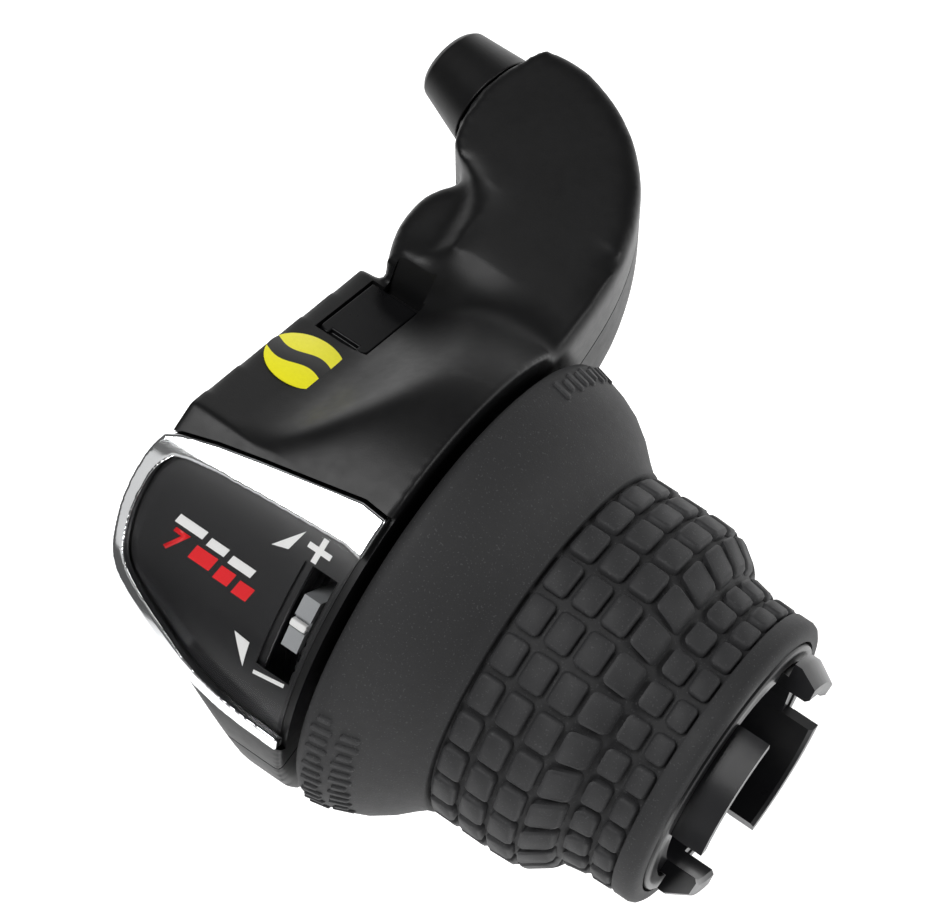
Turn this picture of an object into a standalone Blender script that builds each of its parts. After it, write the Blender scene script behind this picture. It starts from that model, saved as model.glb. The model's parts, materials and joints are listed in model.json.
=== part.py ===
"""Right-hand seven-speed twist shifter for a 22.2 mm handlebar.

X runs outboard along the bar, Y forward and Z up. The origin is the middle of the bar
bore on the inboard end plane. Sizes below are in millimetres and angles in degrees;
angles about the bar are measured from +Z toward +Y. Shapes are built in millimetres and
brought to metres at the end.
"""
import math

import bmesh
import bpy
from mathutils import Matrix, Vector

MM = 0.001
GAP = 0.3
STEPS = 60
SHARP_ANGLE = 35.0

# Bar bore, sleeve and clamp
BORE_R = 11.2
SLEEVE_R = 12.6
SLEEVE_END = 64.2
BAND_R = 14.2
BULKHEAD_X = (10.2, 12.0)
BULKHEAD_R = 20.0
BOLT_X = 5.7
BOLT_Z = -18.0
BOLT_R = 2.0
BARB_R = 14.2
BARB_X = (SLEEVE_END - 3.0, SLEEVE_END - 2.2)
TAB_SLOT_X = SLEEVE_END - 3.8
SHANK_R = 1.1
HEAD_R = 2.0

# Housing
HOUSING_R = 27.0
HOUSING_END = 23.7
EDGE = 0.7
FRONT_STEP = (2.6, 22.0)
WALL = 2.0
END_WALL = 1.8
OUTER_WALL = 1.3
SPLIT_TILT = 11.0
SPLIT_HEIGHT = 4.12
FACET_TILT = 48.0
FACET_D = 19.05
RAMP_START = 8.6
RAMP_ANGLE = 40.0
ARM_TILT = 20.0
ARM_TOP = 17.0
OUTLET_N = 11.0
OUTLET_T = 43.4
OUTLET_TILT = 12.0
OUTLET_R = 5.7
OUTLET_TIP_R = 4.25
OUTLET_LENGTH = 7.4

# Indicator
WINDOW_AT = -25.0
BEZEL_OUTLINE = ((0.2, 9.5), (-0.8, 6.5), (-0.8, 1.5), (0.2, -4.2), (2.2, -6.9), (14.0, -14.7), (23.4, -15.1),
                 (23.4, 14.7))
WINDOW_OUTLINE = ((2.6, 7.6), (1.6, 5.2), (1.5, 1.0), (2.3, -3.2), (4.0, -5.2), (14.8, -12.3), (25.5, -12.9),
                  (25.5, 11.0))
REAR_CUT = (-0.42, -0.90, 0.108)
REAR_CUT_D = 16.8
BOSS_R = 3.0
BEZEL_R = (HOUSING_R - 0.8, HOUSING_R + 0.4)
LENS_R = (HOUSING_R - 0.8, HOUSING_R)
DIAL_R = (HOUSING_R - 2.0, HOUSING_R - 1.4)
POINTER_AT = -26.0
POINTER_X = (19.7, 21.6)

# Twist grip
DRUM_R = SLEEVE_R + 0.4
DRUM_X = (13.2, SLEEVE_END - 3.6)
GRIP_X = (HOUSING_END + 1.2, SLEEVE_END - 4.0)
FIELD_END = SLEEVE_END - 8.2
SPOOL_R = 16.6
RIM_R = 19.0
NECK_R = 17.0
FLANGE_R = 26.6
HUB_R = 17.4
HUB_END_R = 14.8
GRIP_R = 20.6
COLLAR_R = 16.8
GRIP_ROWS = 27
GROOVE = 0.7
INDEX_R = 18.8
NOTCHES = 7
NOTCH_STEP = 10.0
ROLLER_AT = -112.0
ROLLER_R = 1.2
ROLLER_RING = 20.3
NOTCH_R = 1.7
NOTCH_RING = 19.9


def tilted(angle):
    """Frame whose X is the bar axis and whose Z leans forward from vertical by this angle."""
    s, c = math.sin(math.radians(angle)), math.cos(math.radians(angle))
    return Matrix(((1, 0, 0, 0), (0, c, s, 0), (0, -s, c, 0), (0, 0, 0, 1)))


BAR = Matrix(((0, 0, 1, 0), (1, 0, 0, 0), (0, 1, 0, 0), (0, 0, 0, 1)))
ALONG_Y = Matrix(((0, 1, 0, BOLT_X), (0, 0, 1, 0), (1, 0, 0, BOLT_Z), (0, 0, 0, 1)))
ARM = tilted(ARM_TILT)
FACET = tilted(FACET_TILT)
SPLIT = tilted(SPLIT_TILT)
OUTLET = (ARM @ Matrix.Translation((0, OUTLET_T, OUTLET_N))
          @ Matrix.Rotation(math.radians(-OUTLET_TILT), 4, "Z") @ Matrix.Rotation(math.radians(-90), 4, "Y"))


def polar(x, radius, angle):
    """Point at this distance along the bar, radius from its axis and angle about it."""
    a = math.radians(angle)
    return Vector((x, radius * math.sin(a), radius * math.cos(a)))


def solid(name, points, faces, frame=Matrix.Identity(4)):
    """Object from points in a frame, with faces turned outward."""
    shape = bmesh.new()
    corners = [shape.verts.new(frame @ Vector(p)) for p in points]
    for face in faces:
        shape.faces.new([corners[i] for i in face])
    bmesh.ops.recalc_face_normals(shape, faces=shape.faces[:])
    mesh = bpy.data.meshes.new(name)
    shape.to_mesh(mesh)
    shape.free()
    item = bpy.data.objects.new(name, mesh)
    bpy.context.scene.collection.objects.link(item)
    return item


def stack(name, rings, frame=Matrix.Identity(4), closed=False):
    """Solid through rings of equal point counts, capped at both ends or closed into a loop."""
    count, levels = len(rings[0]), len(rings)
    faces = []
    for level in range(levels if closed else levels - 1):
        a, b = level * count, (level + 1) % levels * count
        faces += [(a + i, a + (i + 1) % count, b + (i + 1) % count, b + i) for i in range(count)]
    if not closed:
        faces += [tuple(range(count)), tuple(range((levels - 1) * count, levels * count))]
    return solid(name, [p for ring in rings for p in ring], faces, frame)


def lathe(name, profile, frame=BAR, steps=STEPS):
    """Body turned about the frame's Z from a closed outline of (along, radius)."""
    rings = []
    for k in range(steps):
        a = math.tau * k / steps
        rings.append([(r * math.cos(a), r * math.sin(a), z) for z, r in profile])
    return stack(name, rings, frame, closed=True)


def spindle(name, profile, frame=BAR, steps=STEPS):
    """Solid turned body through (along, radius) stations, with flat ends."""
    turns = [math.tau * k / steps for k in range(steps)]
    return stack(name, [[(r * math.cos(a), r * math.sin(a), z) for a in turns] for z, r in profile], frame)


def rod(name, radius, low, high, frame, steps=32):
    """Round bar along the frame's Z."""
    return spindle(name, ((low, radius), (high, radius)), frame, steps)


def prism(name, outline, low, high, frame=Matrix.Identity(4)):
    """Outline of (x, y) drawn out along the frame's Z."""
    return stack(name, [[(x, y, z) for x, y in outline] for z in (low, high)], frame)


def box(name, low, high, frame=Matrix.Identity(4)):
    """Block between two opposite corners."""
    outline = ((low[0], low[1]), (high[0], low[1]), (high[0], high[1]), (low[0], high[1]))
    return prism(name, outline, low[2], high[2], frame)


def patch(name, radii, xs, halves, middle, steps=20):
    """Curved plate about the bar: a trapezoid whose half angle changes along the bar."""
    rings = []
    for k in range(steps + 1):
        s = 2 * k / steps - 1
        corners = ((xs[0], radii[0], halves[0]), (xs[1], radii[0], halves[1]),
                   (xs[1], radii[1], halves[1]), (xs[0], radii[1], halves[0]))
        rings.append([polar(x, r, middle + s * half) for x, r, half in corners])
    return stack(name, rings)


def carve(body, kind, *tools):
    """Applies a Boolean with each tool in turn and removes the tools."""
    for tool in tools:
        step = body.modifiers.new(kind, "BOOLEAN")
        step.operation, step.object, step.solver = kind, tool, "EXACT"
        graph = bpy.context.evaluated_depsgraph_get()
        done = bpy.data.meshes.new_from_object(body.evaluated_get(graph))
        body.modifiers.remove(step)
        body.data = done
        bpy.data.objects.remove(tool)
    return body


def inset(outline, distance):
    """Outline moved inward by this distance, corner by corner."""
    area = sum(a[0] * b[1] - b[0] * a[1] for a, b in zip(outline, outline[1:] + outline[:1]))
    side = 1 if area > 0 else -1
    moved = []
    for i, here in enumerate(outline):
        before, after = Vector(outline[i - 1]), Vector(outline[(i + 1) % len(outline)])
        u, v = (Vector(here) - before).normalized(), (after - Vector(here)).normalized()
        normal = Vector((-(u.y + v.y), u.x + v.x)).normalized() * side
        reach = distance / max(0.6, math.sqrt(max(0.0, (1 + u.dot(v)) / 2)))
        moved.append((here[0] + normal.x * reach, here[1] + normal.y * reach))
    return moved


def rounded(corners, steps=6):
    """Outline with each corner (x, y, radius) turned into an arc."""
    outline = []
    for i, (x, y, radius) in enumerate(corners):
        here = Vector((x, y))
        if not radius:
            outline.append((x, y))
            continue
        before = (Vector(corners[i - 1][:2]) - here).normalized()
        after = (Vector(corners[(i + 1) % len(corners)][:2]) - here).normalized()
        half = before.angle(after) / 2
        centre = here + (before + after).normalized() * radius / math.sin(half)
        first, last = here + before * radius / math.tan(half), here + after * radius / math.tan(half)
        start = math.atan2(first.y - centre.y, first.x - centre.x)
        turn = math.atan2(last.y - centre.y, last.x - centre.x) - start
        turn = (turn + math.pi) % math.tau - math.pi
        for k in range(steps + 1):
            a = start + turn * k / steps
            outline.append((centre.x + radius * math.cos(a), centre.y + radius * math.sin(a)))
    return outline


ARM_CORNERS = ((24.2, 8, 0), (24.2, 28, 14), (19.2, 42.6, 8), (12.6, 48.1, 8), (5.2, 50.6, 4), (1.2, 49.2, 0),
               (-1.3, 37.4, 0), (2.3, 33.2, 1.2), (0.1, 27.5, 5), (2.6, 20.4, 1.5), (4.2, 8, 0))


def arm_floor(t):
    """Height of the arm's lower face at this reach."""
    return -5.0 + 0.343 * (t - 20)


def arm_block(name, shrink):
    """The arm as a stack of outlines, everywhere smaller by the given amount."""
    outline = rounded(ARM_CORNERS)
    rings = []
    for step, rise in ((2.6, 0.0), (0.8, 0.9), (0.0, 2.8)):
        ring = inset(outline, step + shrink)
        rings.append([(x, t, arm_floor(t) + rise + shrink) for x, t in ring])
    for step, drop in ((0.0, 2.6), (0.8, 0.8), (2.4, 0.0)):
        rings.append([(x, t, ARM_TOP - drop - shrink) for x, t in inset(outline, step + shrink)])
    return stack(name, rings, ARM)


def facet_wedge(name, inward):
    """Everything outside the flat facet, which ramps back out to the rim."""
    ramp = math.radians(RAMP_ANGLE)
    low, start = FACET_D - inward, RAMP_START + inward * math.tan(ramp / 2)
    end, high = start + 30 * math.cos(ramp), low + 30 * math.sin(ramp)
    across = FACET @ Matrix(((1, 0, 0, 0), (0, 0, 1, 0), (0, 1, 0, 0), (0, 0, 0, 1)))
    return prism(name, ((-2, low), (start, low), (end, high), (-2, high)), -30, 12.0 + inward, across)


def seat(x, y):
    """Frame of a cover screw: on the parting plane, with Z square to it."""
    height = (SPLIT_HEIGHT - y * math.sin(math.radians(SPLIT_TILT))) / math.cos(math.radians(SPLIT_TILT))
    return Matrix.Translation((x, y, height)) @ SPLIT


SCREW_SEATS = {"cover_screw_front": seat(5.4, 28.1), "cover_screw_rear": seat(8.3, -17.3)}
BRACKET_SCREW = Matrix.Translation(polar(0, 18.5, 115)) @ BAR


def indicator(name, radii, outline, xs=(-3, 27), steps=23):
    """Curved plate of the indicator: an outline seen square on, between two radii."""
    plate = patch(name, radii, xs, (42, 42), WINDOW_AT, steps)
    return carve(plate, "INTERSECT", prism("outline", list(outline), 15, 40, tilted(WINDOW_AT)))


def rear_cut(name, inward):
    """Everything behind the slanted face that trims the housing's rear inboard side."""
    lean = Vector(REAR_CUT).normalized()
    frame = lean.to_track_quat("Z", "X").to_matrix().to_4x4()
    return box(name, (-70, -70, REAR_CUT_D / Vector(REAR_CUT).length - inward), (70, 70, 70), frame)


def make_housing():
    """Upper and lower covers, split on a leaning plane with a gap between them."""
    outer = spindle("outer", ((0, HOUSING_R - EDGE), (EDGE, HOUSING_R), (HOUSING_END - EDGE, HOUSING_R),
                              (HOUSING_END, HOUSING_R - EDGE)))
    carve(outer, "DIFFERENCE", box("front", (-2, FRONT_STEP[1], -40), (FRONT_STEP[0], 60, 40)))
    carve(outer, "UNION", arm_block("arm", 0.0),
          spindle("outlet_root", ((-6, OUTLET_R + 0.3), (0, OUTLET_R)), OUTLET, 48))
    carve(outer, "DIFFERENCE", facet_wedge("facet", 0.0), rear_cut("rear", 0.0))
    cavity = rod("cavity", HOUSING_R - WALL, END_WALL, HOUSING_END - OUTER_WALL, BAR, STEPS)
    carve(cavity, "DIFFERENCE", box("front", (-2, FRONT_STEP[1] - WALL, -40),
                                    (FRONT_STEP[0] + WALL, 60, 40)))
    carve(cavity, "UNION", arm_block("arm_room", WALL))
    carve(cavity, "DIFFERENCE", facet_wedge("facet_wall", WALL), rear_cut("rear_wall", WALL))
    for frame in SCREW_SEATS.values():
        carve(cavity, "DIFFERENCE", rod("boss", BOSS_R, -40, 40, frame))
    carve(cavity, "DIFFERENCE", rod("boss", BOSS_R + 0.5, -1, 4.0, BRACKET_SCREW))
    carve(outer, "DIFFERENCE", cavity, rod("bar_hole", BAND_R + 0.4, -1, END_WALL + 1, BAR, STEPS),
          rod("drum_hole", NECK_R + 0.4, HOUSING_END - OUTER_WALL - 1, HOUSING_END + 1, BAR, STEPS))
    carve(outer, "DIFFERENCE", rod("socket", 3.8, -4, 1, OUTLET),
          rod("key_hole", 3.2, 10.5, 40, ALONG_Y))
    for frame in SCREW_SEATS.values():
        carve(outer, "DIFFERENCE", rod("head_room", HEAD_R + GAP, -40, -6.6, frame),
              rod("shank", SHANK_R + GAP, -7, 5.6, frame))
    carve(outer, "DIFFERENCE", rod("head_room", HEAD_R + GAP, -1, 2.2, BRACKET_SCREW),
          rod("shank", SHANK_R + GAP, 2, 5, BRACKET_SCREW))
    carve(outer, "DIFFERENCE", indicator("bezel_bed", (25.9, 29), inset(BEZEL_OUTLINE, -GAP)),
          indicator("window", (22.5, 29), inset(WINDOW_OUTLINE, 0.8), (-3, 22.2), 19),
          box("lid_bed", (1.9, 0.2, 17.55), (8.3, 11.1, 22), FACET),
          box("lid_hole", (3.0, 1.5, 12), (7.2, 9.8, 19), FACET))
    lower = bpy.data.objects.new("lower_cover", outer.data.copy())
    bpy.context.scene.collection.objects.link(lower)
    far = 3 * HOUSING_R
    carve(outer, "INTERSECT", box("half", (-far, -far, SPLIT_HEIGHT + GAP / 2), (far, far, far), SPLIT))
    carve(lower, "INTERSECT", box("half", (-far, -far, -far), (far, far, SPLIT_HEIGHT - GAP / 2), SPLIT))
    outer.name = "upper_cover"


def make_lid():
    """Cable access cover, hinged on its lower edge."""
    outline = rounded(((2.2, 0.5, 0.8), (8.0, 0.5, 0.8), (8.0, 10.7, 0), (2.2, 10.7, 0)), 4)
    lid = prism("access_cover", outline, 17.85, FACET_D, FACET)
    carve(lid, "DIFFERENCE", box("grip", (3.4, -1, 18.5), (6.8, 1.3, 20), FACET))
    hinge = FACET @ Vector((5.1, 10.25, 18.45))
    lid.data.transform(Matrix.Translation(-hinge))
    lid.location = hinge


def make_bracket():
    """Clamp, bulkhead and the sleeve with its end tabs and snap hooks."""
    low, high = BULKHEAD_X
    body = lathe("bracket_body", (
        (0.5, BORE_R + 0.3), (0.5, BAND_R), (low, BAND_R), (low, BULKHEAD_R), (high, BULKHEAD_R),
        (high, SLEEVE_R), (BARB_X[0], SLEEVE_R), (BARB_X[0], BARB_R), (BARB_X[1], BARB_R),
        (SLEEVE_END, SLEEVE_R + 0.3), (SLEEVE_END, BORE_R + 0.4),
        (SLEEVE_END - 0.4, BORE_R), (0.8, BORE_R)))
    for side in (-1, 1):
        near, far = sorted((0.6 * side, 5.6 * side))
        carve(body, "UNION", box("ear", (2.2, near, -22.3), (9.2, far, -12.8)))
    carve(body, "UNION", patch("spring_root", (18, 23.6), BULKHEAD_X, (7, 7), -156, 6),
          patch("spring_inner", (20.4, 21.5), (11, 15.0), (6, 6), -156, 6),
          patch("spring_outer", (22.6, 23.6), (11, 15.0), (6, 6), -156, 6),
          rod("screw_boss", 2.8, 4.3, 11, BRACKET_SCREW))
    carve(body, "DIFFERENCE", facet_wedge("room", WALL + GAP),
          box("split", (-1, -1.2, -24), (low - 0.4, 1.2, -9)),
          patch("relief", (9, 15), (low - 1.0, low - 0.2), (74, 74), 180.7, 40),
          rod("bolt_hole", BOLT_R + GAP, -8, 8, ALONG_Y),
          rod("thread", SHANK_R + GAP, 2, 9.8, BRACKET_SCREW),
          rod("boss_room", BOSS_R + GAP, -30, 30, SCREW_SEATS["cover_screw_rear"]))
    for middle in (-11, 169):
        carve(body, "DIFFERENCE", patch("trim", (SLEEVE_R + 0.05, 16), (BARB_X[0] - 0.2, SLEEVE_END + 2),
                                        (32, 32), middle))
    for middle in (40.7, 117.6, -139.3, -62.4):
        carve(body, "DIFFERENCE", patch("slot", (8, 16), (TAB_SLOT_X, SLEEVE_END + 2), (20.2, 20.2), middle))


def make_clamp():
    """Socket bolt and square nut that close the clamp band."""
    head = BOLT_R + 1.5
    bolt = spindle("clamp_bolt", ((-9.6, BOLT_R - 0.4), (-9.2, BOLT_R), (5.9, BOLT_R), (5.9, head), (9.6, head),
                                  (10.0, head - 0.4)), ALONG_Y, 32)
    carve(bolt, "DIFFERENCE", rod("hex", 1.75, 7.6, 11, ALONG_Y, 6))
    nut = box("clamp_nut", (-3.4, -3.4, -9.0), (3.4, 3.4, -5.9), ALONG_Y)
    carve(nut, "DIFFERENCE", rod("thread", BOLT_R + GAP, -10, -5, ALONG_Y))


def make_screw(name, frame, seat_at, end):
    """Cross-head screw whose head sits below seat_at and whose shank reaches end."""
    low = seat_at - 1.9
    screw = rod(name, HEAD_R, low, seat_at - GAP, frame, 24)
    carve(screw, "UNION", rod("shank", SHANK_R, low + 0.8, end, frame, 20))
    for half in ((1.2, 0.3), (0.3, 1.2)):
        carve(screw, "DIFFERENCE", box("cross", (-half[0], -half[1], low - 1), (half[0], half[1], low + 0.7),
                                       frame))


def make_indicator():
    """Chrome frame, lens, dial and the pointer ring seen through them."""
    bezel = indicator("bezel", BEZEL_R, BEZEL_OUTLINE)
    carve(bezel, "DIFFERENCE", indicator("opening", (24, 30), WINDOW_OUTLINE))
    indicator("lens", LENS_R, inset(WINDOW_OUTLINE, GAP), (-3, HOUSING_END - 0.8))
    indicator("dial_plate", DIAL_R, inset(WINDOW_OUTLINE, 0.8 + GAP), (-3, 19.2))
    ring = lathe("pointer_ring", ((19.4, NECK_R + GAP), (19.4, 18.8), (21.8, 18.8), (21.8, NECK_R + GAP)))
    carve(ring, "UNION", patch("carrier", (18.2, DIAL_R[1] - GAP), POINTER_X, (7.0, 7.0), POINTER_AT, 6))
    carve(ring, "DIFFERENCE", patch("mark_bed", (DIAL_R[0] - GAP, HOUSING_R), (19.0, 23.0), (1.6, 1.6),
                                    POINTER_AT, 4))
    patch("pointer_mark", (DIAL_R[0], DIAL_R[0] + 0.8), POINTER_X, (0.9, 0.9), POINTER_AT, 4)


def make_drum():
    """Hub of the twist grip with its index seat, cable spool, neck and flange."""
    first, last = DRUM_X
    flange = HOUSING_END + 1.0
    lathe("twist_drum", (
        (first, DRUM_R), (first, 15.6), (15.9, 15.6), (15.9, RIM_R), (16.5, RIM_R), (16.5, SPOOL_R),
        (18.1, SPOOL_R), (18.1, RIM_R), (18.9, RIM_R), (18.9, NECK_R), (flange, NECK_R), (flange, HUB_R + 7.0),
        (flange + 1.8, HUB_R + 7.0), (flange + 6.6, HUB_R + 3.8), (flange + 11.8, HUB_R + 0.2),
        (last - 14.1, HUB_R), (last - 11.6, HUB_R - 1.0), (last - 9.6, HUB_END_R), (last - 0.3, HUB_END_R),
        (last, HUB_END_R - 0.3), (last, DRUM_R)))


def make_index_ring():
    """Notched ring that gives the seven positions."""
    ring = lathe("index_ring", ((13.3, 15.9), (13.3, INDEX_R), (15.5, INDEX_R), (15.5, 15.9)))
    for k in range(NOTCHES):
        angle = ROLLER_AT + (k - NOTCHES // 2) * NOTCH_STEP
        frame = Matrix.Translation(polar(0, NOTCH_RING, angle)) @ BAR
        carve(ring, "DIFFERENCE", rod("notch", NOTCH_R, 12, 17, frame, 20))


def make_detent():
    """Leaf spring held between two posts, and the roller under its free end."""
    patch("detent_spring", (21.8, 22.3), (13.3, 15.3), (26, 26), -134, 24)
    frame = Matrix.Translation(polar(0, ROLLER_RING, ROLLER_AT)) @ BAR
    rod("detent_roller", ROLLER_R, 13.3, 15.5, frame, 20)


def bumps(spans, slope):
    """Stations along one direction of the grip: bottom, top, top, bottom for each block."""
    return [(at, lift) for low, high in spans
            for at, lift in ((low, 0), (low + slope, 1), (high - slope, 1), (high, 0))]


def grip_radius(x):
    """Outer radius of the grip's field of blocks at this distance along the bar."""
    end = FIELD_END
    shoulder = ((end - 10.0, GRIP_R), (end - 8.5, GRIP_R - 0.3), (end - 6.6, GRIP_R - 1.4),
                (end - 4.6, COLLAR_R + 0.8), (end - 2.0, COLLAR_R + 0.1), (end, COLLAR_R))
    if x <= shoulder[0][0]:
        return GRIP_R
    for (x0, r0), (x1, r1) in zip(shoulder, shoulder[1:]):
        if x <= x1:
            return r0 + (r1 - r0) * (x - x0) / (x1 - x0)
    return COLLAR_R


def make_grip():
    """Rubber sleeve: rounded flange, waisted bell, blocks in rows and a plain collar."""
    first, last = GRIP_X
    hub = HUB_R + GAP
    flange = [(first + x, FLANGE_R - drop) for x, drop in (
        (0, 1.9), (0, 1.0), (0.5, 0.2), (1.5, 0), (3.0, 0.3), (4.9, 0.8), (6.9, 1.6), (8.9, 3.0), (10.8, 5.1))]
    flange.append((first + 12.4, GRIP_R - 0.3))
    collar = ((FIELD_END + 0.4, COLLAR_R), (last - 1.7, COLLAR_R), (last - 0.6, COLLAR_R - 0.5),
              (last, COLLAR_R - 1.2), (last, HUB_END_R + GAP), (last - 9.0, HUB_END_R + GAP),
              (last - 11.0, hub - 1.0), (last - 13.6, hub), (first + 11.7, hub + 0.2), (first + 6.7, hub + 4.0),
              (first + 1.9, hub + 7.0))
    pitch = 360 / GRIP_ROWS
    half = pitch / 2 - math.degrees(GROOVE / GRIP_R / 2)
    rows = bumps([(k * pitch - half, k * pitch + half) for k in range(GRIP_ROWS)], 0.6)
    start = first + 12.7
    columns = (start, start + 0.4, *(FIELD_END - back for back in (10.0, 8.5, 6.6, 4.6, 2.2, 0.4, 0.0)))
    rings = []
    for angle, row_lift in rows:
        ring = [(x, r) for x, r in flange]
        ring += [(x, grip_radius(x) - GROOVE * (1 - row_lift * (columns[0] < x < columns[-1]))) for x in columns]
        ring += list(collar)
        rings.append([polar(x, r, angle) for x, r in ring])
    stack("grip_rubber", rings, closed=True)


def make_cable_parts():
    """Curved guide inside the arm and the tapered outlet at its end."""
    turn = Matrix.Translation((3.4, 28.8, OUTLET_N))
    outline = ((-1.6, 12.2), (1.6, 12.2), (1.6, 13.2), (0.0, 13.2), (0.0, 14.4), (1.6, 14.4), (1.6, 15.4),
               (-1.6, 15.4))
    rings = []
    for k in range(15):
        a = math.radians(20 + 70 * k / 14)
        rings.append([(r * math.sin(a), r * math.cos(a), z) for z, r in outline])
    stack("cable_guide", rings, ARM @ turn)
    tip = OUTLET_LENGTH
    lathe("cable_outlet", (
        (-3.4, 1.2), (-3.4, 3.5), (GAP, 3.5), (GAP, OUTLET_R), (tip - 0.6, OUTLET_TIP_R + 0.1),
        (tip, OUTLET_TIP_R - 0.5), (tip, 2.6), (2.4, 2.6), (2.4, 1.2)), OUTLET, 48)


def paint(name, colour, roughness, metallic=0.0):
    """Gives an object its own named material."""
    item = bpy.data.objects[name]
    look = bpy.data.materials.new(name)
    look.use_nodes = True
    shader = look.node_tree.nodes["Principled BSDF"]
    shader.inputs["Base Color"].default_value = (*colour, 1.0)
    shader.inputs["Roughness"].default_value = roughness
    shader.inputs["Metallic"].default_value = metallic
    item.data.materials.clear()
    item.data.materials.append(look)


def shade(item):
    """Smooth shading across round faces, with crisp edges kept."""
    item.data.polygons.foreach_set("use_smooth", [True] * len(item.data.polygons))
    item.data.set_sharp_from_angle(angle=math.radians(SHARP_ANGLE))


BLACK, RUBBER = (0.012, 0.012, 0.013), (0.022, 0.022, 0.023)
STEEL, ZINC = (0.55, 0.55, 0.56), (0.62, 0.61, 0.58)
LOOKS = {
    "upper_cover": (BLACK, 0.45), "lower_cover": (BLACK, 0.5), "access_cover": ((0.008, 0.008, 0.009), 0.3),
    "bracket_body": ((0.016, 0.016, 0.017), 0.25), "clamp_bolt": (STEEL, 0.3, 1.0), "clamp_nut": (ZINC, 0.4, 1.0),
    "cover_screw_front": (ZINC, 0.4, 1.0), "cover_screw_rear": (ZINC, 0.4, 1.0), "bracket_screw": (ZINC, 0.4, 1.0),
    "bezel": ((0.86, 0.87, 0.88), 0.06, 1.0), "lens": ((0.02, 0.021, 0.023), 0.05),
    "dial_plate": ((0.03, 0.03, 0.033), 0.4), "pointer_ring": ((0.35, 0.36, 0.38), 0.4),
    "pointer_mark": ((0.9, 0.9, 0.9), 0.5), "thrust_washer": ((0.75, 0.74, 0.7), 0.5),
    "twist_drum": ((0.014, 0.014, 0.015), 0.3), "index_ring": ((0.5, 0.5, 0.48), 0.5), "grip_rubber": (RUBBER, 0.75),
    "detent_spring": (STEEL, 0.3, 1.0), "detent_roller": (STEEL, 0.2, 1.0),
    "cable_guide": ((0.7, 0.69, 0.65), 0.5), "cable_outlet": ((0.013, 0.013, 0.014), 0.4),
}


def main():
    """Builds every piece in millimetres, gives each its look and brings it to metres."""
    for item in list(bpy.data.objects):
        bpy.data.objects.remove(item)
    make_bracket()
    make_clamp()
    make_housing()
    make_lid()
    for name, frame in SCREW_SEATS.items():
        make_screw(name, frame, -6.6, 5.0)
    make_screw("bracket_screw", BRACKET_SCREW, 2.2, 9.4)
    make_indicator()
    make_drum()
    lathe("thrust_washer", ((12.3, DRUM_R), (12.3, 17.5), (12.9, 17.5), (12.9, DRUM_R)))
    make_index_ring()
    make_detent()
    make_grip()
    make_cable_parts()
    for name, look in LOOKS.items():
        paint(name, *look)
        item = bpy.data.objects[name]
        shade(item)
        item.data.transform(Matrix.Scale(MM, 4))
        item.location *= MM


main()
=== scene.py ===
"""Looks of a right-hand twist shifter: fine mouldings, rubber grip, indicator and studio."""
import json
import logging
import math
from collections.abc import Callable, Sequence
from dataclasses import dataclass
from enum import Enum
from typing import Any

import bpy
from mathutils import Matrix, Vector

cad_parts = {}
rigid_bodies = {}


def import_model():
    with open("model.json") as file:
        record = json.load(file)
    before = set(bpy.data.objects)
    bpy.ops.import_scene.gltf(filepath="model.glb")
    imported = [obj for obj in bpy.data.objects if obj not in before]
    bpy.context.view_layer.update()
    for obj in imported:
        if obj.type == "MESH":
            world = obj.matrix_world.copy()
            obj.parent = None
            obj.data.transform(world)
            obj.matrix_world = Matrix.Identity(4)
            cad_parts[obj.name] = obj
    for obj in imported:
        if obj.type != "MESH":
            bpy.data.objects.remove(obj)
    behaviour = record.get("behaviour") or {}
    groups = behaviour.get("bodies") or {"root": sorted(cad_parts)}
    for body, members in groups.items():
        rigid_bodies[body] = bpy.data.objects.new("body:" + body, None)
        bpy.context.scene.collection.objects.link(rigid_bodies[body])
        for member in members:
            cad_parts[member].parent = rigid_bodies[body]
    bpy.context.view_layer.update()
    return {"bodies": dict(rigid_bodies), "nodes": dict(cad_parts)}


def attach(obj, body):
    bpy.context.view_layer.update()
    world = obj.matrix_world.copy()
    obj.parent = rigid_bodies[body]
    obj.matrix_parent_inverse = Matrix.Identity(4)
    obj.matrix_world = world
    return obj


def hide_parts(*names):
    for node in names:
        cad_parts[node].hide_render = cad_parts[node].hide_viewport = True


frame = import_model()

MM = 0.001
LOG = logging.getLogger("shifter")
Piece = bpy.types.Object
Point = tuple[float, float]
Outline = tuple[Point, ...]


def polar(x: float, radius: float, angle: float) -> Vector:
    """Point about the bar in metres.

    Args:
        x: Distance along the bar in millimetres.
        radius: Distance from the bar's axis in millimetres.
        angle: Degrees from straight up toward the front.

    Returns:
        The point in metres.
    """
    a = math.radians(angle)
    return Vector((x, radius * math.sin(a), radius * math.cos(a))) * MM


def leaning(angle: float) -> Matrix:
    """Frame along the bar whose Z leans forward from straight up.

    Args:
        angle: The lean in degrees.

    Returns:
        A rotation matrix.
    """
    return Matrix.Rotation(math.radians(-angle), 4, "X")


def blended(points: Sequence[Point], at: float) -> float:
    """Value on the line through a short list of (position, value) pairs.

    Args:
        points: Pairs in rising order of position.
        at: Where to read the value.

    Returns:
        The value, or an end pair's value beyond the ends.
    """
    if at <= points[0][0]:
        return points[0][1]
    for (x0, y0), (x1, y1) in zip(points, points[1:]):
        if at <= x1:
            return y0 + (y1 - y0) * ((at - x0) / (x1 - x0))
    return points[-1][1]


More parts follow.
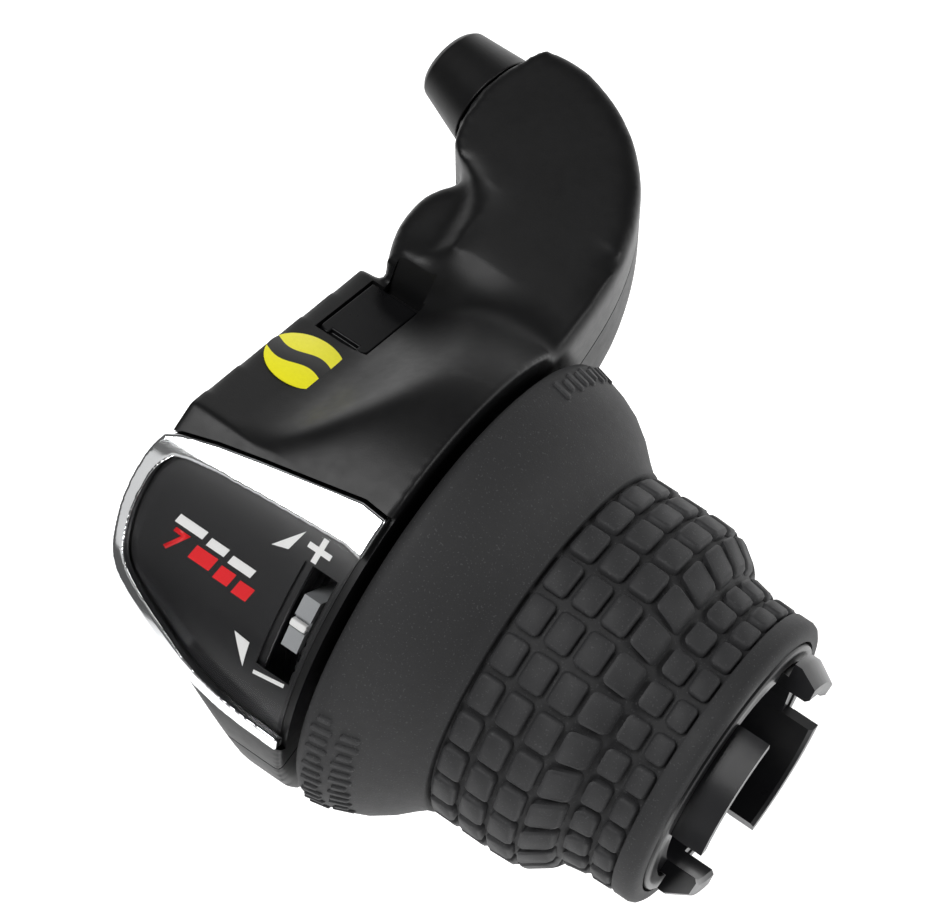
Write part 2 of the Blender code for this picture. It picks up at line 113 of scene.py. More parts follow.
def softened(corners: Sequence[Point], rounds: int = 3, share: float = 0.25) -> list[Point]:
    """Closed outline with its corners cut back again and again until it is smooth.

    Args:
        corners: The outline's corners.
        rounds: How many times the corners are cut.
        share: Part of each side that a cut takes.

    Returns:
        The smooth outline.
    """
    line = list(corners)
    for _ in range(rounds):
        fresh: list[Point] = []
        for (x0, y0), (x1, y1) in zip(line, line[1:] + line[:1]):
            fresh += [(x0 + (x1 - x0) * share, y0 + (y1 - y0) * share),
                      (x1 + (x0 - x1) * share, y1 + (y0 - y1) * share)]
        line = fresh
    return line


def inset(corners: Sequence[Point], shrink: float) -> list[Point]:
    """Corners of an anticlockwise outline moved inward.

    Args:
        corners: The outline's corners.
        shrink: How far they move.

    Returns:
        The smaller outline.
    """
    count, moved = len(corners), []
    for k in range(count):
        (ax, ay), (bx, by), (cx, cy) = corners[k - 1], corners[k], corners[(k + 1) % count]
        one = Vector((by - ay, ax - bx)).normalized()
        two = Vector((cy - by, bx - cx)).normalized()
        side = (one + two) / (1 + one.dot(two))
        moved.append((bx - side.x * shrink, by - side.y * shrink))
    return moved


class Join(Enum):
    """Ways a tool changes a body."""

    CUT = "DIFFERENCE"
    ADD = "UNION"
    KEEP = "INTERSECT"


class Bench:
    """Modelling operations, each on one object at a time."""

    @staticmethod
    def pick(item: Piece) -> None:
        """Selects one object alone and makes it active."""
        bpy.ops.object.select_all(action="DESELECT")
        item.select_set(True)
        bpy.context.view_layer.objects.active = item

    @staticmethod
    def named(name: str) -> Piece:
        """Names the object that a primitive operator has just made and returns it."""
        item = bpy.context.view_layer.objects.active
        item.name = name
        item.data.name = name
        return item

    @staticmethod
    def settle(item: Piece) -> Piece:
        """Moves an object's place, turn and size into its mesh."""
        Bench.pick(item)
        bpy.ops.object.transform_apply(location=True, rotation=True, scale=True)
        return item

    @staticmethod
    def modify(item: Piece, kind: str, **settings: Any) -> Piece:
        """Adds a modifier and applies it.

        Args:
            item: The object.
            kind: The modifier's type.
            settings: Its properties.

        Returns:
            The same object.
        """
        Bench.pick(item)
        step = item.modifiers.new(kind.lower(), kind)
        for key, value in settings.items():
            setattr(step, key, value)
        bpy.ops.object.modifier_apply(modifier=step.name)
        return item

    @staticmethod
    def combine(item: Piece, how: Join, *tools: Piece) -> Piece:
        """Cuts, joins or trims a body with tools, which are used up.

        Args:
            item: The body.
            how: What the tools do.
            tools: The tool objects.

        Returns:
            The body.
        """
        for tool in tools:
            Bench.modify(item, "BOOLEAN", operation=how.value, object=tool, solver="EXACT")
            bpy.data.objects.remove(tool)
        return item

    @staticmethod
    def edit(item: Piece, *steps: tuple[Callable[..., Any], dict[str, Any]]) -> Piece:
        """Runs edit-mode operators on everything in a mesh.

        Args:
            item: The object.
            steps: Pairs of an operator and its arguments.

        Returns:
            The same object.
        """
        Bench.pick(item)
        bpy.ops.object.mode_set(mode="EDIT")
        bpy.ops.mesh.select_all(action="SELECT")
        for operator, arguments in steps:
            operator(**arguments)
        bpy.ops.object.mode_set(mode="OBJECT")
        return item

    @staticmethod
    def edit_where(item: Piece, kind: str, test: Callable[[Any], bool],
                   *steps: tuple[Callable[..., Any], dict[str, Any]]) -> Piece:
        """Runs edit-mode operators on the vertices, edges or faces that pass a test.

        Args:
            item: The object.
            kind: "VERT", "EDGE" or "FACE".
            test: Says whether one of them is taken.
            steps: Pairs of an operator and its arguments.

        Returns:
            The same object.
        """
        Bench.pick(item)
        bpy.ops.object.mode_set(mode="EDIT")
        bpy.ops.mesh.select_mode(type=kind)
        bpy.ops.mesh.select_all(action="DESELECT")
        bpy.ops.object.mode_set(mode="OBJECT")
        parts = {"VERT": item.data.vertices, "EDGE": item.data.edges, "FACE": item.data.polygons}[kind]
        for part in parts:
            part.select = test(part)
        bpy.ops.object.mode_set(mode="EDIT")
        for operator, arguments in steps:
            operator(**arguments)
        bpy.ops.object.mode_set(mode="OBJECT")
        return item

    @staticmethod
    def smooth(item: Piece, angle: float = 35.0) -> Piece:
        """Shades an object smooth except across edges sharper than the angle."""
        Bench.pick(item)
        bpy.ops.object.shade_smooth_by_angle(angle=math.radians(angle))
        return item

    @staticmethod
    def round_edges(item: Piece, width: float, angle: float, harden: bool = False) -> Piece:
        """Rounds every edge sharper than an angle.

        Args:
            item: The object.
            width: Width of the rounding in millimetres.
            angle: The angle in degrees.
            harden: Whether flat faces keep flat shading.

        Returns:
            The object.
        """
        return Bench.modify(item, "BEVEL", width=width * MM, segments=2, limit_method="ANGLE",
                            angle_limit=math.radians(angle), harden_normals=harden)

    @staticmethod
    def copy_of(node: str, name: str) -> Piece:
        """Separate, merged copy of one CAD node's shape.

        Args:
            node: The CAD node's name.
            name: The copy's name.

        Returns:
            The copy, with no material.
        """
        item = bpy.data.objects.new(name, frame["nodes"][node].data.copy())
        bpy.context.scene.collection.objects.link(item)
        item.data.name = name
        item.data.materials.clear()
        return Bench.edit(item, (bpy.ops.mesh.remove_doubles, {"threshold": 2e-6}))

    @staticmethod
    def cylinder(name: str, radius: float, low: float, high: float, place: Matrix,
                 sides: int = 64) -> Piece:
        """Round bar along a frame's Z.

        Args:
            name: The object's name.
            radius: Its radius in millimetres.
            low: Where it starts along Z.
            high: Where it ends along Z.
            place: The frame, in millimetres.
            sides: The number of its sides.

        Returns:
            The bar.
        """
        bpy.ops.mesh.primitive_cylinder_add(vertices=sides, radius=radius * MM, depth=(high - low) * MM)
        item = Bench.named(name)
        middle = place @ Vector((0, 0, (low + high) / 2))
        item.matrix_world = Matrix.Translation(middle * MM) @ place.to_3x3().to_4x4()
        return Bench.settle(item)

    @staticmethod
    def block(name: str, low: Sequence[float], high: Sequence[float], place: Matrix) -> Piece:
        """Box between two corners in a frame.

        Args:
            name: The object's name.
            low: Its lowest corner in millimetres.
            high: Its highest corner in millimetres.
            place: The frame, in millimetres.

        Returns:
            The box.
        """
        size = [(b - a) * MM for a, b in zip(low, high)]
        bpy.ops.mesh.primitive_cube_add(size=1)
        item = Bench.named(name)
        middle = place @ Vector([(a + b) / 2 for a, b in zip(low, high)])
        item.matrix_world = (Matrix.Translation(middle * MM) @ place.to_3x3().to_4x4()
                             @ Matrix.Diagonal((*size, 1)))
        return Bench.settle(item)

    @staticmethod
    def turned(name: str, outline: Sequence[Point], steps: int) -> Piece:
        """Body spun about the bar from a closed outline.

        Args:
            name: The object's name.
            outline: Points (along, radius) in millimetres, in order round the section.
            steps: How many steps the spin takes.

        Returns:
            The body.
        """
        bpy.ops.object.select_all(action="DESELECT")
        bpy.ops.mesh.primitive_circle_add(vertices=len(outline), radius=MM)
        item = Bench.named(name)
        for vertex, (x, radius) in zip(item.data.vertices, outline):
            vertex.co = Vector((x, 0, radius)) * MM
        about = {"steps": steps, "angle": math.tau, "center": (0, 0, 0), "axis": (1, 0, 0)}
        return Bench.edit(item, (bpy.ops.mesh.spin, about), (bpy.ops.mesh.select_all, {"action": "SELECT"}),
                          (bpy.ops.mesh.remove_doubles, {"threshold": 1e-6}),
                          (bpy.ops.mesh.normals_make_consistent, {"inside": False}))

    @staticmethod
    def sheet(name: str, across: int, down: int, place: Callable[[float, float], Vector]) -> Piece:
        """Grid whose every point is placed by a rule.

        Args:
            name: The object's name.
            across: Steps in the first direction.
            down: Steps in the second direction.
            place: Gives a point in metres for two shares from 0 to 1.

        Returns:
            The sheet.
        """
        bpy.ops.object.select_all(action="DESELECT")
        bpy.ops.mesh.primitive_grid_add(x_subdivisions=across, y_subdivisions=down, size=2)
        item = Bench.named(name)
        for vertex in item.data.vertices:
            vertex.co = place((vertex.co.x + 1) / 2, (vertex.co.y + 1) / 2)
        return item

    @staticmethod
    def soften(item: Piece, voxel: float, rounds: int) -> Piece:
        """Rounds every edge of a moulding a little.

        Args:
            item: The moulding.
            voxel: Size of the fresh mesh's faces in millimetres.
            rounds: How far the edges are rounded.

        Returns:
            The moulding.
        """
        Bench.modify(item, "REMESH", mode="VOXEL", voxel_size=voxel * MM, adaptivity=0.0)
        Bench.modify(item, "SMOOTH", factor=0.5, iterations=rounds)
        return Bench.smooth(item, 50)

    @staticmethod
    def merge(name: str, items: Sequence[Piece]) -> Piece:
        """Joins objects into one.

        Args:
            name: The joined object's name.
            items: The objects, of which the first stays.

        Returns:
            The joined object.
        """
        Bench.pick(items[0])
        for item in items:
            item.select_set(True)
        if len(items) > 1:
            bpy.ops.object.join()
        return Bench.named(name)


class Signal:
    """A node socket whose arithmetic adds Math nodes."""

    def __init__(self, recipe: "Recipe", socket: bpy.types.NodeSocket) -> None:
        """Keeps the socket and the recipe it belongs to."""
        self.recipe, self.socket = recipe, socket

    def maths(self, operation: str, *others: Any) -> "Signal":
        """Result of one Math node on this value and others."""
        return self.recipe.maths(operation, self, *others)

    def __add__(self, other: Any) -> "Signal":
        """Sum."""
        return self.maths("ADD", other)

    def __radd__(self, other: Any) -> "Signal":
        """Sum."""
        return self.maths("ADD", other)

    def __sub__(self, other: Any) -> "Signal":
        """Difference."""
        return self.maths("SUBTRACT", other)

    def __rsub__(self, other: Any) -> "Signal":
        """Difference the other way round."""
        return self.recipe.maths("SUBTRACT", other, self)

    def __mul__(self, other: Any) -> "Signal":
        """Product."""
        return self.maths("MULTIPLY", other)

    def __rmul__(self, other: Any) -> "Signal":
        """Product."""
        return self.maths("MULTIPLY", other)

    def __abs__(self) -> "Signal":
        """Size without sign."""
        return self.maths("ABSOLUTE")


class Recipe:
    """Node tree of one material."""

    def __init__(self, name: str) -> None:
        """Starts an empty material of that name."""
        self.material = bpy.data.materials.new(name)
        self.material.use_nodes = True
        self.tree = self.material.node_tree
        self.tree.nodes.clear()

    def node(self, kind: str, settings: dict[str, Any], inputs: dict[Any, Any]) -> bpy.types.Node:
        """Adds one node.

        Args:
            kind: The node's type.
            settings: Its own properties; "stops" gives a ramp's positions and colours.
            inputs: Values or links of its sockets, by name or number.

        Returns:
            The node.
        """
        made = self.tree.nodes.new(kind)
        for key, value in settings.items():
            if key == "stops":
                ramp = made.color_ramp
                while len(ramp.elements) < len(value):
                    ramp.elements.new(0.5)
                for element, (at, colour) in zip(ramp.elements, value):
                    element.position, element.color = at, colour
            else:
                setattr(made, key, value)
        for key, value in inputs.items():
            socket = made.inputs[key]
            if isinstance(value, Signal):
                self.tree.links.new(value.socket, socket)
            else:
                socket.default_value = value
        return made

    def out(self, node: bpy.types.Node, key: Any = 0) -> Signal:
        """One output of a node as a signal."""
        return Signal(self, node.outputs[key])

    def maths(self, operation: str, *values: Any) -> Signal:
        """Result of one Math node."""
        return self.out(self.node("ShaderNodeMath", {"operation": operation}, dict(enumerate(values))))

    def place(self, turn: Sequence[float] = (0, 0, 0), centre: Sequence[float] = (0, 0, 0)) -> Signal:
        """Object coordinates in millimetres, measured from a centre and turned.

        Args:
            turn: Euler angles of the turn in degrees.
            centre: The centre in millimetres.

        Returns:
            The coordinates.
        """
        where = self.out(self.node("ShaderNodeTexCoord", {}, {}), "Object")
        grown = self.node("ShaderNodeVectorMath", {"operation": "MULTIPLY_ADD"},
                          {0: where, 1: (1000.0,) * 3, 2: tuple(-c for c in centre)})
        turned = self.node("ShaderNodeMapping", {"vector_type": "POINT"},
                           {"Vector": self.out(grown), "Rotation": tuple(math.radians(a) for a in turn)})
        return self.out(turned)

    def noise(self, where: Signal, size: float, detail: float = 2.0) -> Signal:
        """Soft noise from 0 to 1.

        Args:
            where: Coordinates in millimetres.
            size: Size of its patches in millimetres.
            detail: How many finer layers it has.

        Returns:
            The noise.
        """
        inputs = {"Vector": where, "Scale": 1 / size, "Detail": detail}
        return self.out(self.node("ShaderNodeTexNoise", {}, inputs))

    def step(self, value: Signal, low: float, high: float) -> Signal:
        """Smooth rise from 0 to 1 between two values."""
        ranged = self.node("ShaderNodeMapRange", {"interpolation_type": "SMOOTHSTEP"},
                           {"Value": value, "From Min": low, "From Max": high})
        return self.out(ranged)

    def mixed(self, share: Any, first: Any, second: Any) -> Signal:
        """Colour between two colours."""
        made = self.node("ShaderNodeMix", {"data_type": "RGBA"}, {"Factor": share})
        for socket, value in ((made.inputs[6], first), (made.inputs[7], second)):
            if isinstance(value, Signal):
                self.tree.links.new(value.socket, socket)
            else:
                socket.default_value = (*value, 1)
        return self.out(made, 2)

    def bump(self, height: Signal, depth: float) -> Signal:
        """Surface normal over a height map.

        Args:
            height: The height from 0 to 1.
            depth: Millimetres between lowest and highest.

        Returns:
            The normal.
        """
        inputs = {"Height": height, "Distance": depth * MM, "Strength": 1.0}
        return self.out(self.node("ShaderNodeBump", {}, inputs))

    def finish(self, shader: bpy.types.Node) -> bpy.types.Material:
        """Ends the tree with a shader and returns the material."""
        self.node("ShaderNodeOutputMaterial", {}, {"Surface": self.out(shader)})
        return self.material


@dataclass(frozen=True)
class Moulded:
    """Moulded plastic or rubber: fine grain, soft mottling, dust specks and convex edges painted lighter,
    partly as rubbed wear and partly as a painted highlight.
    """

    name: str
    colour: tuple[float, float, float]
    roughness: float
    grain: float = 0.16
    depth: float = 0.008
    mottle: float = 0.12
    specks: float = 0.0
    # Share of the convex-edge lightening in the colour: part rubbed wear, part painted highlight.
    edge_wear_and_sheen: float = 0.25
    coat: float = 0.0
    specular: float = 0.5

    def material(self) -> bpy.types.Material:
        """Builds the material."""
        r = Recipe(self.name)
        where = r.place()
        fine = r.noise(where, self.grain, 3.0)
        broad = r.noise(where, 5.0, 3.0)
        scratch = r.noise(where, 1.1, 6.0)
        dust = r.step(r.noise(where, self.grain * 0.9, 0.0), 0.70, 0.78) * self.specks
        # Convex edges found by pointiness: made lighter below as rubbed wear and as a painted edge highlight,
        # and made less rough.
        edge = r.step(r.out(r.node("ShaderNodeNewGeometry", {}, {}), "Pointiness"), 0.52, 0.60) * self.edge_wear_and_sheen
        dark = tuple(c * (1 - self.mottle) for c in self.colour)
        light = tuple(c * (1 + self.mottle) for c in self.colour)
        base = r.mixed(broad, dark, light)
        # Painted edge highlight and rubbed wear: convex edges mixed toward a lighter colour.
        base = r.mixed(edge, base, tuple(min(1.0, c * 2.2 + 0.004) for c in self.colour))
        base = r.mixed(dust, base, tuple(min(1.0, c * 2.5 + 0.03) for c in self.colour))
        rough = self.roughness + (broad - 0.5) * 0.10 + (scratch - 0.5) * 0.12 - edge * 0.15
        normal = r.bump(fine + scratch * 0.4, self.depth)
        return r.finish(r.node("ShaderNodeBsdfPrincipled", {}, {
            "Base Color": base, "Roughness": rough, "Normal": normal, "Coat Weight": self.coat,
            "Specular IOR Level": self.specular}))


@dataclass(frozen=True)
class Metal:
    """Plated or ground metal with fine lines and a little tarnish."""

    name: str
    colour: tuple[float, float, float]
    roughness: float
    lines: float = 0.0
    tarnish: float = 0.1

    def material(self) -> bpy.types.Material:
        """Builds the material."""
        r = Recipe(self.name)
        where = r.place()
        stretched = r.out(r.node("ShaderNodeMapping", {}, {"Vector": where, "Scale": (0.2, 6.0, 6.0)}))
        fine = r.noise(stretched, 0.5, 4.0)
        broad = r.noise(where, 3.0, 3.0)
        dull = tuple(c * (1 - self.tarnish) for c in self.colour)
        base = r.mixed(r.step(broad, 0.35, 0.7), self.colour, dull)
        rough = self.roughness + broad * 0.04 + fine * 0.04
        normal = r.bump(fine, 0.0005 + self.lines * 0.01)
        return r.finish(r.node("ShaderNodeBsdfPrincipled", {}, {
            "Base Color": base, "Roughness": rough, "Normal": normal, "Metallic": 1.0}))


@dataclass(frozen=True)
class Clear:
    """Clear smoked window: reflects at a slant and shows what is behind it."""

    name: str
    tint: tuple[float, float, float]
    roughness: float = 0.04

    def material(self) -> bpy.types.Material:
        """Builds the material."""
        r = Recipe(self.name)
        where = r.place()
        haze = r.noise(where, 2.2, 4.0)
        through = r.node("ShaderNodeBsdfTransparent", {}, {"Color": (*self.tint, 1)})
        gloss = r.node("ShaderNodeBsdfPrincipled", {}, {
            "Base Color": (0.01, 0.01, 0.011, 1), "Roughness": self.roughness + haze * 0.05,
            "Coat Weight": 0.3, "Normal": r.bump(haze, 0.002)})
        front = 1 - r.out(r.node("ShaderNodeNewGeometry", {}, {}), "Backfacing")
        share = r.out(r.node("ShaderNodeFresnel", {}, {"IOR": 1.45})) * front
        both = r.node("ShaderNodeMixShader", {}, {0: share, 1: r.out(through), 2: r.out(gloss)})
        return r.finish(both)


@dataclass(frozen=True)
class Banded:
    """Printed label: plain ground with one wavy dark band across it."""

    name: str
    ground: tuple[float, float, float]
    band: tuple[float, float, float]
    centre: tuple[float, float, float]
    turn: tuple[float, float, float]

    def material(self) -> bpy.types.Material:
        """Builds the material."""
        r = Recipe(self.name)
        where = r.place(self.turn, self.centre)
        parts = r.node("ShaderNodeSeparateXYZ", {}, {"Vector": where})
        across, up = r.out(parts, 0), r.out(parts, 1)
        wave = up - 0.55 * (across * 0.95 + 0.6).maths("SINE")
        band = 1 - r.step(abs(wave), 1.05, 1.12)
        paper = r.noise(where, 0.3, 3.0)
        ground = r.mixed(paper, self.ground, tuple(c * 0.9 for c in self.ground))
        base = r.mixed(band, ground, self.band)
        return r.finish(r.node("ShaderNodeBsdfPrincipled", {}, {
            "Base Color": base, "Roughness": 0.36 + paper * 0.12,
            "Normal": r.bump(paper + band * 0.5, 0.004)}))


FINISHES: dict[str, Any] = {finish.name: finish for finish in (
    Moulded("satin_black", (0.0045, 0.0045, 0.0048), 0.42, specular=0.27),
    Moulded("satin_lower", (0.0045, 0.0045, 0.0048), 0.48, specular=0.27),
    Moulded("gloss_black", (0.003, 0.003, 0.0035), 0.30, depth=0.003, edge_wear_and_sheen=0.1, specular=0.14),
    Moulded("sleeve_black", (0.006, 0.006, 0.007), 0.34, depth=0.004, edge_wear_and_sheen=0.2, specular=0.3),
    Moulded("drum_black", (0.008, 0.008, 0.009), 0.36, depth=0.005, specular=0.45),
    Moulded("grip_rubber", (0.018, 0.018, 0.019), 0.68, grain=0.22, depth=0.02, specks=0.35, edge_wear_and_sheen=0.35,
            specular=0.35),
    Moulded("dial_black", (0.010, 0.010, 0.011), 0.35, grain=0.3, depth=0.002, edge_wear_and_sheen=0.0),
    Moulded("print_white", (0.86, 0.86, 0.85), 0.45, depth=0.002, mottle=0.02, edge_wear_and_sheen=0.0),
    Moulded("print_red", (0.80, 0.010, 0.016), 0.42, depth=0.002, mottle=0.06, edge_wear_and_sheen=0.0),
    Moulded("print_grey", (0.33, 0.34, 0.35), 0.42, depth=0.002, mottle=0.06, edge_wear_and_sheen=0.0),
    Moulded("acetal", (0.62, 0.61, 0.58), 0.5, mottle=0.04, edge_wear_and_sheen=0.05),
    Metal("chrome", (0.88, 0.89, 0.90), 0.05, tarnish=0.04),
    Metal("ground_steel", (0.56, 0.56, 0.57), 0.26, lines=0.3),
    Metal("zinc", (0.60, 0.60, 0.57), 0.38, lines=0.1, tarnish=0.25),
    Clear("smoked_clear", (0.97, 0.97, 0.97)),
)}


def dress(item: Piece, finish: str) -> Piece:
    """Gives an object one finish, made the first time it is asked for.

    Args:
        item: The object.
        finish: The finish's name.

    Returns:
        The object.
    """
    known = bpy.data.materials.get(finish + "_finish")
    if known is None:
        known = FINISHES[finish].material()
        known.name = finish + "_finish"
    item.data.materials.clear()
    item.data.materials.append(known)
    return item


def install(item: Piece, body: str, finish: str, slot: str, *nodes: str) -> Piece:
    """Dresses a piece, mounts it on a body and reports it.

    Args:
        item: The piece.
        body: The body it moves with.
        finish: Its finish.
        slot: The record's material slot it belongs to; not used.
        nodes: CAD nodes it stands for.

    Returns:
        The piece.
    """
    dress(item, finish)
    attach(item, body)
    if nodes:
        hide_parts(*nodes)
    LOG.info("%s on %s: %d faces", item.name, body, len(item.data.polygons))
    return item


FACET_TILT = 48.0
FACET_HEIGHT = 19.05
BAR = Matrix(((0, 0, 1, 0), (1, 0, 0, 0), (0, 1, 0, 0), (0, 0, 0, 1)))
CLAMP_BOLT = Matrix(((0, 1, 0, 5.7), (0, 0, 1, 0), (1, 0, 0, -18), (0, 0, 0, 1)))
ARM = leaning(20)
FACET = leaning(FACET_TILT)
SPLIT_TILT = 11.0
SPLIT = leaning(SPLIT_TILT)
OUTLET = (ARM @ Matrix.Translation((0, 43.4, 11)) @ Matrix.Rotation(math.radians(-12), 4, "Z")
          @ Matrix.Rotation(math.radians(-90), 4, "Y"))


def prism(name: str, outline: Sequence[Point], low: float, high: float, place: Matrix) -> Piece:
    """Flat outline carried along a frame's Z.

    Args:
        name: The object's name.
        outline: Its corners in the frame, in millimetres.
        low: Where it starts along Z.
        high: Where it ends along Z.
        place: The frame, in millimetres.

    Returns:
        The prism.
    """
    bpy.ops.object.select_all(action="DESELECT")
    bpy.ops.mesh.primitive_circle_add(vertices=len(outline), radius=MM, fill_type="NGON")
    item = Bench.named(name)
    for vertex, (a, b) in zip(item.data.vertices, outline):
        vertex.co = (place @ Vector((a, b, low))) * MM
    up = (place.to_3x3() @ Vector((0, 0, high - low))) * MM
    return Bench.edit(item, (bpy.ops.mesh.extrude_region_move, {"TRANSFORM_OT_translate": {"value": up}}),
                      (bpy.ops.mesh.select_all, {"action": "SELECT"}),
                      (bpy.ops.mesh.normals_make_consistent, {"inside": False}))


def curved_plate(name: str, radii: Point, xs: Point, angles: Point, across: int = 60,
                 around: int = 80) -> Piece:
    """Plate that follows a cylinder about the bar.

    Args:
        name: The object's name.
        radii: Inner and outer radius in millimetres.
        xs: Where it starts and ends along the bar.
        angles: Where it starts and ends about the bar in degrees.
        across: Steps along the bar.
        around: Steps about the bar.

    Returns:
        The plate.
    """
    item = Bench.sheet(name, across, around, lambda a, b: polar(
        xs[0] + (xs[1] - xs[0]) * a, radii[1], angles[0] + (angles[1] - angles[0]) * b))
    Bench.modify(item, "SOLIDIFY", thickness=(radii[1] - radii[0]) * MM, offset=-1.0)
    return Bench.edit(item, (bpy.ops.mesh.normals_make_consistent, {"inside": False}))


@dataclass
class Fittings:
    """CAD parts whose shape stands: refined copies of those seen, a finish for those inside."""

    edge: float = 0.18
    seen: tuple[tuple[str, str, str], ...] = (
        ("bracket_body", "bracket", "sleeve_black"), ("clamp_bolt", "bracket", "ground_steel"),
        ("clamp_nut", "bracket", "zinc"), ("cover_screw_front", "bracket", "zinc"),
        ("cover_screw_rear", "bracket", "zinc"), ("bracket_screw", "bracket", "zinc"),
        ("access_cover", "lid", "gloss_black"), ("pointer_mark", "pointer", "print_white"),
        ("dial_plate", "bracket", "dial_black"), ("cable_outlet", "bracket", "satin_black"))
    inside: tuple[tuple[str, str], ...] = (
        ("thrust_washer", "acetal"), ("index_ring", "acetal"), ("detent_spring", "ground_steel"),
        ("detent_roller", "ground_steel"), ("cable_guide", "acetal"), ("pointer_ring", "print_grey"))

    def refine(self, node: str) -> Piece:
        """Copy of a CAD node with merged faces and rounded edges."""
        item = Bench.copy_of(node, node + "_fine")
        Bench.edit(item, (bpy.ops.mesh.customdata_custom_splitnormals_clear, {}),
                   (bpy.ops.mesh.dissolve_limited, {"angle_limit": math.radians(0.6)}))
        Bench.smooth(item, 32)
        return Bench.round_edges(item, self.edge, 32, True)

    def build(self) -> None:
        """Makes the refined copies and dresses the rest."""
        for node, body, finish in self.seen:
            install(self.refine(node), body, finish, node, node)
        for node, finish in self.inside:
            dress(frame["nodes"][node], finish)


@dataclass
class Drum:
    """Hub of the twist grip, seen as the rim beyond the rubber collar."""

    outline: Outline = (
        (13.2, 13.0), (13.2, 15.6), (15.9, 15.6), (15.9, 19.0), (16.5, 19.0), (16.5, 16.6), (18.1, 16.6),
        (18.1, 19.0), (18.9, 19.0), (18.9, 17.0), (24.7, 17.0), (24.7, 24.4), (26.5, 24.4), (31.3, 21.2),
        (36.5, 17.6), (46.5, 17.4), (49.0, 16.4), (51.0, 14.8), (60.1, 14.8), (60.4, 14.7), (60.55, 14.5),
        (60.6, 14.2), (60.6, 13.0))

    def build(self) -> None:
        """Spins the hub."""
        item = Bench.turned("twist_hub", self.outline, 144)
        Bench.round_edges(item, 0.12, 40)
        install(Bench.smooth(item, 30), "twist", "drum_black", "twist_drum", "twist_drum")


@dataclass
class Grip:
    """Rubber sleeve: bell, field of square blocks in six columns and a plain collar."""

    rows: int = 27
    first_row: float = -6.2
    groove: float = 0.8
    depth: float = 0.95
    columns: Outline = ((37.75, 40.55), (41.2, 44.05), (44.7, 47.6), (48.2, 51.2), (51.9, 54.35),
                                  (54.95, 57.3))
    crest: Outline = (
        (36.0, 20.5), (46.0, 20.6), (47.6, 20.45), (48.8, 20.0), (50.4, 18.9), (51.6, 17.75), (52.4, 17.3),
        (54.4, 17.0), (57.6, 16.9))
    bell: Outline = (
        (24.9, 24.7), (24.9, 25.5), (25.1, 26.0), (25.5, 26.4), (26.2, 26.6), (27.0, 26.55), (27.9, 26.3),
        (29.8, 25.75), (31.8, 24.85), (33.8, 23.45), (35.4, 21.95), (36.6, 20.95), (37.2, 20.75),
        (37.3, 20.6), (37.35, 19.7))
    collar: Outline = (
        (57.55, 16.0), (57.6, 16.8), (57.8, 16.9), (59.3, 16.9), (59.8, 16.7), (60.1, 16.3), (60.2, 15.8),
        (60.2, 15.1), (51.2, 15.1), (49.2, 16.6), (46.6, 17.7), (36.6, 17.9), (31.6, 21.7), (26.8, 24.7))
    ticks: tuple[tuple[float, float, int], ...] = ((27.3, -86.0, 14), (30.2, -82.0, 12), (27.6, 58.0, 9))
    tick_lengths: tuple[float, ...] = (2.3, 1.5, 2.3, 1.9)
    tick_pitch: float = 3.4

    def top(self, x: float) -> float:
        """Radius of the block tops at this distance along the bar."""
        return blended(self.crest, x)

    def sleeve(self) -> Piece:
        """Bell, grooved floor of the block field, collar and bore, spun in one."""
        floor = [(x / 10, self.top(x / 10) - self.depth) for x in range(376, 574, 8)]
        return Bench.turned("grip_sleeve", [*self.bell, *floor, *self.collar], self.rows * 8)

    def pad(self, span: Point, width: float, lift: float, sink: float,
            radius: Callable[[float], float]) -> Piece:
        """One rounded block, laid on the sleeve at the top of the bar.

        Args:
            span: Where it starts and ends along the bar.
            width: Its width round the sleeve.
            lift: Height of its top over the given radius.
            sink: Depth of its foot under that radius.
            radius: Gives the radius at each distance along the bar.

        Returns:
            The block.
        """
        item = Bench.block("block", (span[0], -width / 2, -sink), (span[1], width / 2, lift - 0.22), Matrix())
        corner = min(0.62, width * 0.3)

        def upright(edge: Any) -> bool:
            """Says whether the edge stands up from the sleeve."""
            first, last = (item.data.vertices[k].co.z for k in edge.vertices)
            return abs(first - last) > MM * 0.3

        Bench.edit_where(item, "EDGE", upright,
                         (bpy.ops.mesh.bevel, {"offset": corner * MM, "segments": 3, "affect": "EDGES"}))
        Bench.edit_where(item, "FACE", lambda face: face.normal.z > 0.9,
                         (bpy.ops.mesh.inset, {"thickness": min(0.3, width * 0.15) * MM, "depth": 0.22 * MM}))
        for vertex in item.data.vertices:
            x, y, z = vertex.co / MM
            level = radius(x)
            vertex.co = polar(x, level + z, math.degrees(y / level))
        return Bench.smooth(item, 60)

    def ring(self, pad: Piece, angles: Sequence[float]) -> list[Piece]:
        """Copies of one block at each angle about the bar.

        Args:
            pad: The block, which is used up.
            angles: Where the copies go.

        Returns:
            The copies.
        """
        copies = []
        for angle in angles:
            item = pad.copy()
            item.data = pad.data.copy()
            bpy.context.scene.collection.objects.link(item)
            item.matrix_world = leaning(angle)
            copies.append(Bench.settle(item))
        bpy.data.objects.remove(pad)
        return copies

    def build(self) -> None:
        """Makes the sleeve, its blocks and the raised ticks on the bell."""
        parts = [Bench.smooth(self.sleeve(), 40)]
        pitch = 360 / self.rows
        for low, high in self.columns:
            width = math.tau * self.top((low + high) / 2) / self.rows - self.groove
            pad = self.pad((low, high), width, 0.0, self.depth + 0.3, self.top)
            parts += self.ring(pad, [self.first_row + k * pitch for k in range(self.rows)])
        for at, first, count in self.ticks:
            for k in range(count):
                half = self.tick_lengths[k % len(self.tick_lengths)] / 2
                pad = self.pad((at - half, at + half), 0.8, 0.28, 0.3, lambda x: blended(self.bell[4:12], x))
                parts += self.ring(pad, [first + k * self.tick_pitch])
        install(Bench.merge("rubber_grip", parts), "twist", "grip_rubber", "grip_rubber", "grip_rubber")


